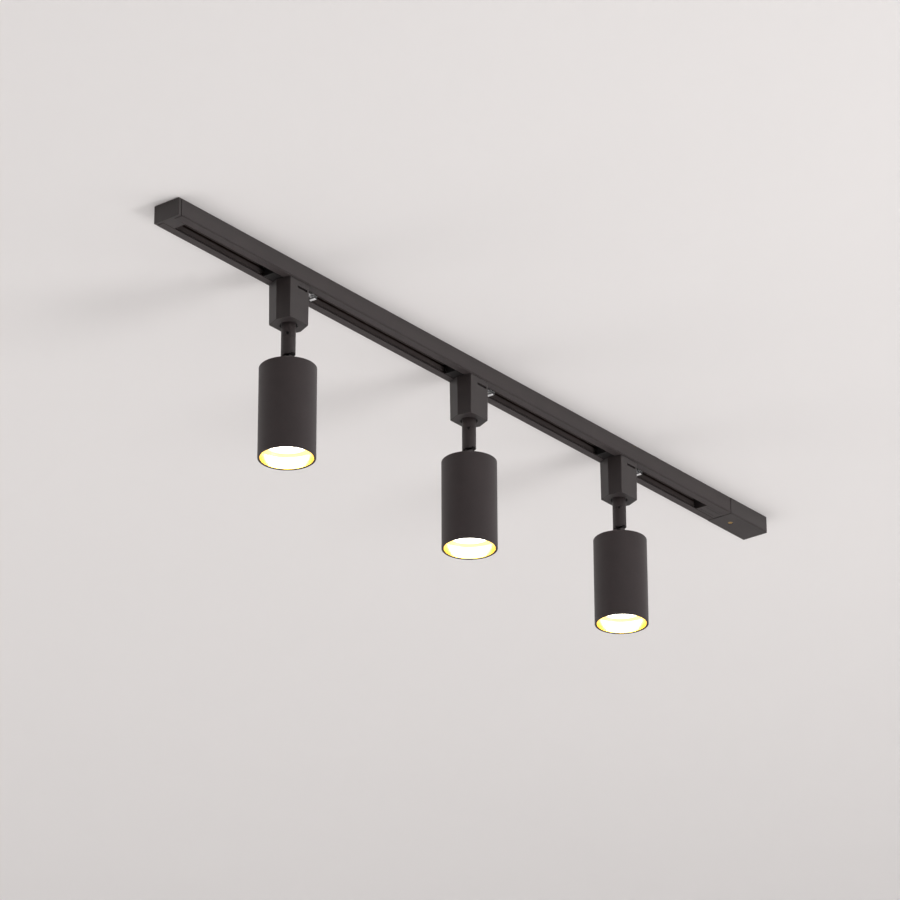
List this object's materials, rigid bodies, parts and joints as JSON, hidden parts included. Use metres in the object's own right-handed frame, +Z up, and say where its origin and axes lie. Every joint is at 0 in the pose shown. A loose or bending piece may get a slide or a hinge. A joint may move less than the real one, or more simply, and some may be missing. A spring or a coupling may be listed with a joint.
{
  "type": "track lighting fixture",
  "caption": "Ceiling track light: a slotted rail carrying sliding adapters, each with a swivelling stem and a tilting open-mouthed cylinder spot head.",
  "frame": {"origin": "middle of the rail's ceiling face", "axes": "+X along the rail from the end cap to the live-end feed, +Y across it, +Z up into the ceiling"},
  "size_m": [1.0824, 0.063, 0.2273],
  "materials": {
    "rail_black": "matte black powder coat",
    "black_plastic": "fine satin moulded black plastic",
    "insulator": "dark grey extruded insulating plastic",
    "copper": "drawn copper, slightly dulled",
    "brass": "stamped brass",
    "dark_steel": "blackened steel",
    "bright_steel": "bright spring steel",
    "head_black": "warm matte black powder coat",
    "gilt": "polished gilt inner wall",
    "ceramic": "white lamp holder",
    "lamp_shell": "white lamp body",
    "lamp_glass": "lit frosted lamp front"
  },
  "bodies": {
    "rail": {"track_rail": "rail_black", "insulator_front": "insulator", "insulator_rear": "insulator", "live_conductor": "copper", "neutral_conductor": "copper", "earth_strip": "copper", "end_cap": "black_plastic", "feed_cover": "black_plastic", "feed_base": "black_plastic", "feed_plug": "black_plastic", "feed_terminal_block": "insulator", "feed_screw": "brass"},
    "adapter_1": {"adapter_block_1": "black_plastic", "contact_carrier_1": "black_plastic", "live_contact_1": "brass", "neutral_contact_1": "brass", "earth_contact_1": "brass", "swivel_ring_1": "dark_steel"},
    "latch_1": {"latch_tab_1": "bright_steel"},
    "stem_1": {"stem_1": "rail_black", "set_screw_1": "dark_steel"},
    "head_1": {"hinge_leaf_1": "rail_black", "hinge_screw_1": "dark_steel", "head_housing_1": "head_black", "gilt_sleeve_1": "gilt", "lamp_holder_1": "ceramic", "lamp_body_1": "lamp_shell", "lamp_lens_1": "lamp_glass"},
    "adapter_2": {"adapter_block_2": "black_plastic", "contact_carrier_2": "black_plastic", "live_contact_2": "brass", "neutral_contact_2": "brass", "earth_contact_2": "brass", "swivel_ring_2": "dark_steel"},
    "latch_2": {"latch_tab_2": "bright_steel"},
    "stem_2": {"stem_2": "rail_black", "set_screw_2": "dark_steel"},
    "head_2": {"hinge_leaf_2": "rail_black", "hinge_screw_2": "dark_steel", "head_housing_2": "head_black", "gilt_sleeve_2": "gilt", "lamp_holder_2": "ceramic", "lamp_body_2": "lamp_shell", "lamp_lens_2": "lamp_glass"},
    "adapter_3": {"adapter_block_3": "black_plastic", "contact_carrier_3": "black_plastic", "live_contact_3": "brass", "neutral_contact_3": "brass", "earth_contact_3": "brass", "swivel_ring_3": "dark_steel"},
    "latch_3": {"latch_tab_3": "bright_steel"},
    "stem_3": {"stem_3": "rail_black", "set_screw_3": "dark_steel"},
    "head_3": {"hinge_leaf_3": "rail_black", "hinge_screw_3": "dark_steel", "head_housing_3": "head_black", "gilt_sleeve_3": "gilt", "lamp_holder_3": "ceramic", "lamp_body_3": "lamp_shell", "lamp_lens_3": "lamp_glass"}
  },
  "joints": [
    {"name": "adapter_slide_1", "type": "slide", "parent": "rail", "child": "adapter_1", "axis": [1, 0, 0], "range_m": [-0.143, 0.106]},
    {"name": "stem_swivel_1", "type": "hinge", "parent": "adapter_1", "child": "stem_1", "pos_m": [-0.3055, 0, -0.0695], "axis": [0, 0, 1], "range_deg": [-175, 175]},
    {"name": "head_tilt_1", "type": "hinge", "parent": "stem_1", "child": "head_1", "pos_m": [-0.3055, 0, -0.1123], "axis": [0, 1, 0], "range_deg": [-90, 90]},
    {"name": "latch_pull_1", "type": "hinge", "parent": "adapter_1", "child": "latch_1", "pos_m": [-0.281, 0, -0.015], "axis": [0, 1, 0], "range_deg": [0, 12], "stiffness_Nm_per_rad": 0.2, "springref_deg": -5.73},
    {"name": "adapter_slide_2", "type": "slide", "parent": "rail", "child": "adapter_2", "axis": [1, 0, 0], "range_m": [-0.122, 0.091]},
    {"name": "stem_swivel_2", "type": "hinge", "parent": "adapter_2", "child": "stem_2", "pos_m": [0.009, 0, -0.0695], "axis": [0, 0, 1], "range_deg": [-175, 175]},
    {"name": "head_tilt_2", "type": "hinge", "parent": "stem_2", "child": "head_2", "pos_m": [0.009, 0, -0.1123], "axis": [0, 1, 0], "range_deg": [-90, 90]},
    {"name": "latch_pull_2", "type": "hinge", "parent": "adapter_2", "child": "latch_2", "pos_m": [0.0335, 0, -0.015], "axis": [0, 1, 0], "range_deg": [0, 12], "stiffness_Nm_per_rad": 0.2, "springref_deg": -5.73},
    {"name": "adapter_slide_3", "type": "slide", "parent": "rail", "child": "adapter_3", "axis": [1, 0, 0], "range_m": [-0.107, 0.118]},
    {"name": "stem_swivel_3", "type": "hinge", "parent": "adapter_3", "child": "stem_3", "pos_m": [0.2945, 0, -0.0695], "axis": [0, 0, 1], "range_deg": [-175, 175]},
    {"name": "head_tilt_3", "type": "hinge", "parent": "stem_3", "child": "head_3", "pos_m": [0.2945, 0, -0.1123], "axis": [0, 1, 0], "range_deg": [-90, 90]},
    {"name": "latch_pull_3", "type": "hinge", "parent": "adapter_3", "child": "latch_3", "pos_m": [0.319, 0, -0.015], "axis": [0, 1, 0], "range_deg": [0, 12], "stiffness_Nm_per_rad": 0.2, "springref_deg": -5.73}
  ]
}
